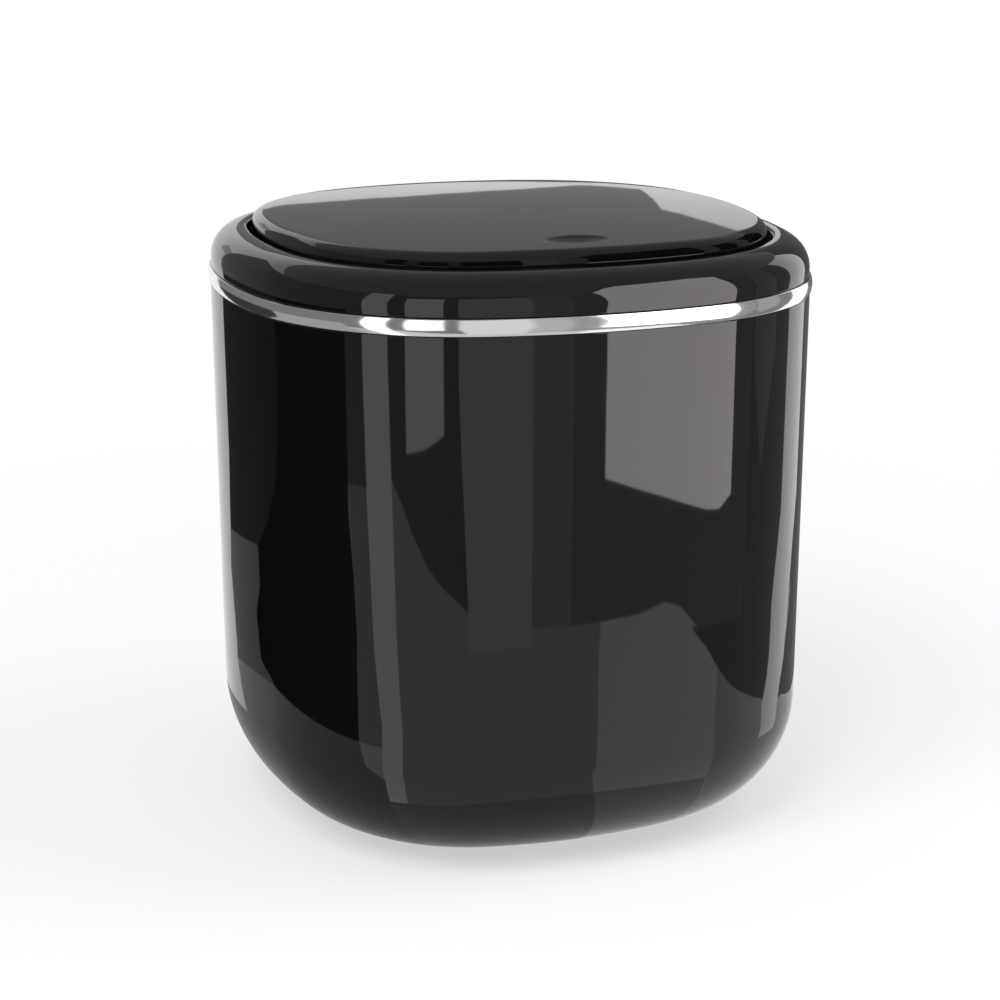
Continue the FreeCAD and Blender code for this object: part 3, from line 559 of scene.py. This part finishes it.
# %% Bright trim
chrome = Finish("bright_trim")
cloud = chrome.noise(70.0, 3.0)
chrome.set(base_color=chrome.between(cloud, (0.80, 0.80, 0.81), (0.90, 0.90, 0.91)))
chrome.set(metallic=1.0, roughness=0.07 + 0.06 * cloud)
chrome.set(normal=chrome.bump(chrome.noise(240.0, 2.0), 0.00002))
chrome.tell()

# %% [markdown]
# Inside, the frame and the lid's liner are the same plastic from a spark-eroded mould: a fine even
# grain that scatters the light. The latch parts are a harder, slightly lighter grade.

# %% Satin and latch plastic
def grained_plastic(name, dark, light, rough):
    finish = Finish(name)
    grain = finish.noise(2600.0, 2.0)
    patch = finish.noise(45.0, 3.0)
    finish.set(base_color=finish.between(patch, dark, light))
    finish.set(roughness=rough + 0.10 * patch + 0.08 * grain)
    finish.set(normal=finish.bump(grain, 0.00006, 0.6))
    finish.tell()
    return finish


satin = grained_plastic("satin_black", (0.022, 0.022, 0.023), (0.034, 0.034, 0.036), 0.36)
latch = grained_plastic("latch_plastic", (0.045, 0.045, 0.05), (0.065, 0.065, 0.07), 0.30)

# %% [markdown]
# The feet and the lid's stops are soft black rubber, dull and a little dusty.

# %% Rubber
rubber = Finish("foot_rubber")
dust = rubber.noise(160.0, 5.0)
rubber.set(base_color=rubber.between(dust, (0.022, 0.022, 0.022), (0.045, 0.044, 0.042)))
rubber.set(roughness=0.72 + 0.18 * dust)
rubber.set(normal=rubber.bump(rubber.noise(1400.0, 3.0), 0.00008, 0.5))
rubber.tell()

# %% [markdown]
# Three kinds of steel are inside. The pin is ground, so its marks run round it. The springs are drawn
# wire, whose marks run along, and the screws are zinc plated, with a cloudy passivated film. One
# helper makes all three: only the stretch of the marks and the tint differ.

# %% Steels
def steel(name, dark, light, rough, marks, stretch):
    finish = Finish(name)
    streak = finish.noise(marks, 3.0, stretch)
    film = finish.noise(220.0, 3.0)
    finish.set(base_color=finish.between(film, dark, light))
    finish.set(metallic=1.0, roughness=rough + 0.14 * streak + 0.06 * film)
    finish.set(normal=finish.bump(streak, 0.00002, 0.7))
    finish.tell()
    return finish


pin_steel = steel("pin_steel", (0.56, 0.56, 0.57), (0.66, 0.66, 0.67), 0.18, 900.0, (6, 1, 1))
spring_steel = steel("spring_steel", (0.48, 0.48, 0.49), (0.60, 0.60, 0.61), 0.22, 1500.0, (1, 3, 3))
screw_steel = steel("screw_steel", (0.54, 0.55, 0.57), (0.66, 0.66, 0.65), 0.26, 700.0, (1, 1, 1))

# %% [markdown]
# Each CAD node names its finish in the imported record. The new shells carry the same slot names, so a
# single table dresses everything.

# %% Dress every piece
FINISHES = {
    "gloss_black": gloss,
    "bright_trim": chrome,
    "satin_black": satin,
    "latch_plastic": latch,
    "foot_rubber": rubber,
    "pin_steel": pin_steel,
    "spring_steel": spring_steel,
    "screw_steel": screw_steel,
}


def dress(thing, slot):
    thing.data.materials.clear()
    thing.data.materials.append(FINISHES[slot].holder)


for subpart in frame["record"]["subparts"]:
    dress(nodes[subpart["node"]], subpart["material_slot"])
for thing in (barrel, collar, lid):
    dress(thing, "gloss_black")
dress(band, "bright_trim")
for spring in springs:
    dress(spring, "spring_steel")
print("finishes", len(FINISHES))

# %% [markdown]
# The floor is a pale sheet. Near the bin it is a plain diffuse surface, so that it holds the contact
# shadow, and further out it fades into pure white for the camera and for mirror rays, so that it has
# no far edge.

# %% Floor
FLOOR_SIZE, PAPER = 6.0, (0.88, 0.88, 0.88, 1)
FADE_NEAR, FADE_FAR, FADE_START = 0.10, 0.42, 0.55
WHITE = (1, 1, 1, 1)
floor_mesh = bpy.data.meshes.new("floor")
corners = [(x * FLOOR_SIZE, y * FLOOR_SIZE, 0) for x, y in ((-1, -1), (1, -1), (1, 1), (-1, 1))]
floor_mesh.from_pydata(corners, [], [(0, 1, 2, 3)])
floor = bpy.data.objects.new("floor", floor_mesh)
bpy.context.scene.collection.objects.link(floor)


def seen(finish):
    """One for camera, mirror and glass rays, nought for the rays that only carry light."""
    names = ("Is Camera Ray", "Is Glossy Ray", "Is Transmission Ray")
    camera_ray, mirror_ray, glass_ray = (finish.node("ShaderNodeLightPath", output=name) for name in names)
    return finish.node("ShaderNodeClamp", None, {"Value": camera_ray + mirror_ray + glass_ray})


paper = Finish("floor_paper", "ShaderNodeMixShader")
away = paper.node("ShaderNodeVectorMath", {"operation": "LENGTH"}, {0: paper.place()}, 1)
fade_range = {"Value": away, "From Min": FADE_NEAR, "From Max": FADE_FAR, "To Min": FADE_START, "To Max": 1}
fade = paper.node("ShaderNodeMapRange", {"interpolation_type": "SMOOTHSTEP"}, fade_range)
paper.feed(paper.shader.inputs[0], seen(paper) * fade)
paper.feed(paper.shader.inputs[1], paper.node("ShaderNodeBsdfDiffuse", None, {"Color": PAPER}))
paper.feed(paper.shader.inputs[2], paper.node("ShaderNodeEmission", None, {"Color": WHITE}))
floor_mesh.materials.append(paper.holder)
paper.tell()

# %% [markdown]
# The world is white to look at and dimmer as a light, so the background stays white without flooding
# the bin. Two large soft lamps give the floor its shadow. They are kept out of mirror rays, because
# on a black gloss surface the reflections are placed one by one.

# %% World and lamps
DIM = 0.55
BIN_MIDDLE = Vector((0, 0, 0.07))
room = Finish("studio", "ShaderNodeBackground", world=True)
room.set(color=WHITE, strength=DIM + (1 - DIM) * seen(room))
room.tell()
bpy.context.scene.world = room.holder


def lamp(name, spot, size, watts):
    light = bpy.data.lights.new(name, "AREA")
    light.size = size
    light.energy = watts
    thing = bpy.data.objects.new(name, light)
    thing.location = spot
    thing.rotation_euler = (BIN_MIDDLE - Vector(spot)).to_track_quat("-Z", "Y").to_euler()
    thing.visible_glossy = False
    bpy.context.scene.collection.objects.link(thing)
    print(name, watts, "W")


lamp("key_lamp", (-0.55, -0.45, 0.85), 0.6, 7.0)
lamp("fill_lamp", (0.70, -0.20, 0.70), 0.7, 4.0)

# %% [markdown]
# On a black mirror the light is what it reflects. A photographer stands flags and cards round such a
# product, and this screen does the same: dark flags make the body read as black, and bright cards
# draw the upright highlights. The upright cards stand on a circle, and what they can't reach, because
# the lower wall mirrors the table, lies flat on the floor. They are seen by mirror rays alone. Light
# linking can keep a card for a few of the shells: for everything else it is then a black flag.

# %% Card maker
shells = bpy.data.collections.new("shells")
for thing in (barrel, band, collar):
    shells.objects.link(thing)
band_alone = bpy.data.collections.new("band_alone")
band_alone.objects.link(band)


def glow_card(name, glow, rows, tint=(1, 1, 1), receivers=None):
    """A sheet through rows of points that shines evenly, for mirror rays only."""
    width = len(rows[0])
    faces = []
    for i in range(len(rows) - 1):
        for k in range(width - 1):
            corner = i * width + k
            faces.append((corner, corner + 1, corner + width + 1, corner + width))
    mesh = bpy.data.meshes.new(name)
    mesh.from_pydata([Vector(spot) * MM for row in rows for spot in row], [], faces)
    finish = Finish(name, "ShaderNodeEmission")
    finish.shader.inputs["Color"].default_value = (*tint, 1)
    finish.shader.inputs["Strength"].default_value = glow
    mesh.materials.append(finish.holder)
    thing = bpy.data.objects.new(name, mesh)
    bpy.context.scene.collection.objects.link(thing)
    thing.visible_camera = False
    thing.visible_diffuse = False
    thing.visible_shadow = False
    thing.visible_transmission = False
    thing.light_linking.receiver_collection = receivers
    print(name, len(faces), "faces, glow", glow)


CARD_STEP = 2


def at_bearing(bearing, radius, height):
    """A point round the bin. Bearing nought is the front, and ninety is the right-hand side."""
    turn = math.radians(bearing)
    return (radius * math.sin(turn), -radius * math.cos(turn), height)


def steps_between(first, last, count):
    return [first + (last - first) * k / count for k in range(count + 1)]


def sheet(name, glow, rows, tint=(1, 1, 1), receivers=None):
    """A card through rows of (radius, height, first bearing, last bearing)."""
    widest = max(last - first for radius, height, first, last in rows)
    columns = max(2, round(widest / CARD_STEP))
    grid = []
    for radius, height, first, last in rows:
        bearings = steps_between(first, last, columns)
        grid.append([at_bearing(bearing, radius, height) for bearing in bearings])
    glow_card(name, glow, grid, tint, receivers)


def screen(name, glow, radius, edges, tint=(1, 1, 1), receivers=None):
    """An upright card with an uneven foot, through (bearing, foot, top)."""
    grid = []
    for (first, foot, top), (last, next_foot, next_top) in zip(edges, edges[1:]):
        count = max(1, round((last - first) / CARD_STEP))
        bearings = steps_between(first, last, count)
        feet = steps_between(foot, next_foot, count)
        tops = steps_between(top, next_top, count)
        for bearing, low, high in zip(bearings, feet, tops):
            grid.append([at_bearing(bearing, radius, low), at_bearing(bearing, radius, high)])
    glow_card(name, glow, grid, tint, receivers)


# %% [markdown]
# At the left side the wall is nearly black between two upright highlights: a grey line along the very
# edge and a narrow strip where the side turns to the front. The lower wall and the base round mirror
# the table, so most cards bend and go on over the floor. The black flag shows grey in the bright band
# alone, which would go dark there without it. The bright strip is linked to the barrel, the band and
# the collar, so that it doesn't burn out on the flat lid.

# %% Cards at the left
FLAG, CARD = 216, 210
SPLIT, TOP = 98, 236
LOW, HIGH = 0.6, 0.8
sheet("left_edge", 0.95, (
    (CARD, 150, -180, -150), (CARD, HIGH, -180, -153), (171, HIGH, -172, -146),
    (137, HIGH, -162, -139.6), (104, HIGH, -148, -122.6)))
sheet("left_grey", 0.04, (
    (FLAG, SPLIT, -150, -111), (FLAG, 64, -150, -111), (FLAG, 40, -150, -115), (FLAG, 14, -152, -131)))
sheet("left_foot", 0.2, (
    (FLAG, 14, -152, -131), (FLAG, LOW, -153, -131), (188, LOW, -149, -131),
    (150, LOW, -142, -124), (137, LOW, -139.6, -113)))
sheet("left_black", 0.36, (
    (FLAG, SPLIT, -111, -70), (FLAG, 64, -111, -70), (FLAG, 40, -115, -70), (FLAG, 14, -131, -68),
    (FLAG, LOW, -131, -67.5), (188, LOW, -131, -66.4), (150, LOW, -124, -63.5), (137, LOW, -113, -62),
), receivers=band_alone)
sheet("left_low", 0.38, (
    (137, LOW, -139.6, -62), (104, LOW, -150, -49), (80, LOW, -150, -46), (40, LOW, -150, -30)))
sheet("left_upper", 0.2, ((FLAG, TOP, -150, -51), (FLAG, SPLIT, -150, -51)))
sheet("strip_side", 0.2, ((FLAG, SPLIT, -70, -51), (FLAG, 50, -70, -51)))
sheet("strip_foot", 0.5, (
    (FLAG, 50, -70, -51), (FLAG, LOW, -67.5, -50), (188, LOW, -66.4, -48),
    (150, LOW, -63.5, -45.8), (137, LOW, -62, -45)))
sheet("strip", 1.5, (
    (CARD, TOP, -62, -51.4), (CARD, 90, -62, -51.4), (CARD, 46, -61.2, -50.5), (CARD, HIGH, -59.6, -49.5),
    (195, HIGH, -58.3, -48.7), (150, HIGH, -53.7, -45.8), (99, HIGH, -48.5, -42.5), (80, HIGH, -45.8, -40.8),
), receivers=shells)

# %% [markdown]
# The front is a dark field with a short panel hanging in it, a tall dim card beside that, and one
# large warm card with a slanting foot. Below them lies a lighter floor, grey at the left and warm at
# the right, whose upper edge is the uneven foot of the dark field.

# %% Cards at the front
WARM = (1.0, 0.94, 0.955)
screen("front_dark", 0.18, FLAG, (
    (-51, 54, TOP), (-47, 47, TOP), (-43, 38, TOP), (-37, 27, TOP), (-31, 20, TOP),
    (-21, 12, TOP), (-10, 7, TOP), (-2, 5, TOP)))
screen("front_grey", 0.46, FLAG, ((-2, 5, TOP), (7, 4, TOP)))
screen("front_shade", 0.31, FLAG, (
    (7, 4, TOP), (14, 5, TOP), (23, 7, TOP), (29, 10, TOP), (33, 8, TOP), (38, 0, TOP), (60, 0, TOP)))
screen("panel", 1.45, CARD, (
    (-44.5, 64, 200), (-37.5, 65.5, 203), (-33.5, 67.5, 205), (-29.7, 70, 206)), receivers=shells)
screen("tall_card", 0.73, CARD, ((-24, 85, 210), (-20, 0, 211), (-2, 0, 218)), receivers=shells)
screen("warm_card", 3.85, CARD, (
    (14, 53.5, TOP), (31.5, 44.3, TOP), (38.7, 40.6, TOP), (44, 40, TOP), (50, 44, TOP)), WARM, shells)
sheet("warm_card_top", 3.85, (
    (CARD, TOP, 14, 50), (165, TOP, 17, 49), (148, TOP, 21, 42)), WARM, shells)
sheet("front_floor", 0.62, (
    (460, LOW, -56, 15), (222, LOW, -50, 14), (195, LOW, -48.7, 13), (150, LOW, -45.8, 11),
    (137, LOW, -45, 10), (104, LOW, -49, 6), (80, LOW, -46, 4)))
sheet("front_low", 0.45, ((80, LOW, -46, 4), (40, LOW, -30, 2)))
sheet("warm_floor", 1.15, (
    (300, LOW, 13, 36), (222, LOW, 14, 36), (205, LOW, 13, 37.5), (178, LOW, 12, 44),
    (145, LOW, 10.5, 41), (104, LOW, 6, 36.3), (80, LOW, 4, 32)), WARM)
sheet("warm_low", 0.7, ((80, LOW, 4, 32), (40, LOW, 2, 24)), WARM)

# %% [markdown]
# The right side is dark as well, with one narrow highlight that bends in over the base round. Low
# flags go on round the back: a glancing surface mirrors what lies straight behind it, and without
# them the outline would melt into the white room.

# %% Cards at the right
sheet("right_dark", 0.22, ((FLAG, TOP, 60, 110), (FLAG, LOW, 60, 110)))
sheet("right_floor", 0.22, (
    (FLAG, LOW, 36, 106), (205.6, LOW, 37.5, 103), (178.7, LOW, 44, 97), (161, LOW, 50, 94),
    (148.5, LOW, 58, 91), (137, LOW, 68, 88), (125, LOW, 82, 84)))
sheet("right_edge", 0.2, (
    (FLAG, SPLIT, 110, 178), (FLAG, LOW, 106, 178), (152, LOW, 91.6, 150), (125, LOW, 84, 125),
    (113, LOW, 99, 110)))
sheet("right_rear", 0.15, ((FLAG, SPLIT, 110, 136), (FLAG, 300, 110, 136)))
sheet("rear_low", 0.15, ((FLAG, 146, 136, 181), (FLAG, SPLIT, 136, 181)))
sheet("right_low", 0.8, (
    (178.7, LOW, 44, 44.1), (161, LOW, 43, 50), (148.5, LOW, 41.5, 58), (137, LOW, 40.5, 68),
    (125, LOW, 39, 82), (113, LOW, 37.5, 99), (102, LOW, 36.3, 112), (84, LOW, 33, 118), (40, LOW, 24, 110)))
screen("right_dim", 0.36, CARD, ((61, 85, TOP), (68, 48, TOP), (76, 85, TOP)), receivers=shells)
sheet("right_strip", 1.6, (
    (CARD, TOP, 88.5, 109.5), (CARD, 30, 87.6, 109.4), (CARD, 13, 84.2, 105.5), (CARD, HIGH, 82, 103),
    (168, HIGH, 77.4, 95), (152, HIGH, 74, 91.6), (133, HIGH, 67, 83), (121, HIGH, 64, 77.7),
    (104, HIGH, 59, 70.5),
), receivers=shells)

# %% [markdown]
# Above the bin a grey ceiling darkens the shoulder and the front of the lid. Behind it, one long flag
# is what the flat lid mirrors, and the white room shows past its edges as two pale strips. A far
# screen greys the horizon on every side but that one.

# %% Cards overhead and behind
OVER, FAR_HEIGHT, HORIZON = 240, 230, 1600
SPREAD, MEET, REAR_END, REAR_LEFT = 420, 110, 330, -20
sheet("horizon", 0.55, ((HORIZON, 100, -172, 128), (HORIZON, 460, -172, 128)))
glow_card("flag_over_front", 0.35, (
    ((-SPREAD, -SPREAD, OVER), (-SPREAD, MEET, OVER)), ((SPREAD, -SPREAD, OVER), (SPREAD, MEET, OVER))))
glow_card("flag_over_rear", 0.35, (
    ((REAR_LEFT, MEET, OVER), (REAR_LEFT, REAR_END, OVER)), ((SPREAD, MEET, OVER), (SPREAD, REAR_END, OVER))))
far_rows = ((250, -40, 262), (372, -20, 240), (579, 30, 288), (649, 60, 316), (813, 142, 381),
            (850, 224, 395), (1025, 351, 465), (1278, 483, 565), (1514, 600, 612))
glow_card("flag_far", 0.27, [((left, y, FAR_HEIGHT), (right, y, FAR_HEIGHT)) for y, left, right in far_rows])

# %% [markdown]
# The camera stands a little left of the front and a little above, with a long lens, as in the
# photograph. Bearing, height and lens come from fitting the bin's own rings to the picture.

# %% Camera
BEARING, RISE, DISTANCE = math.radians(-19), math.radians(14.95), 0.58
FOCAL_PIXELS, IMAGE_PIXELS = 2442.0, 1000
AIM = Vector((-0.0018, -0.0012, 0.0702))
back = Vector((math.sin(BEARING) * math.cos(RISE), -math.cos(BEARING) * math.cos(RISE), math.sin(RISE)))
lens = bpy.data.cameras.new("camera")
lens.sensor_width = 36.0
lens.lens = lens.sensor_width * FOCAL_PIXELS / IMAGE_PIXELS
lens.clip_start = 0.01
camera = bpy.data.objects.new("camera", lens)
camera.location = AIM + back * DISTANCE
camera.rotation_euler = back.to_track_quat("Z", "Y").to_euler()
bpy.context.scene.collection.objects.link(camera)
bpy.context.scene.camera = camera
bpy.context.scene.view_settings.view_transform = "Standard"
print("lens", round(lens.lens, 1))
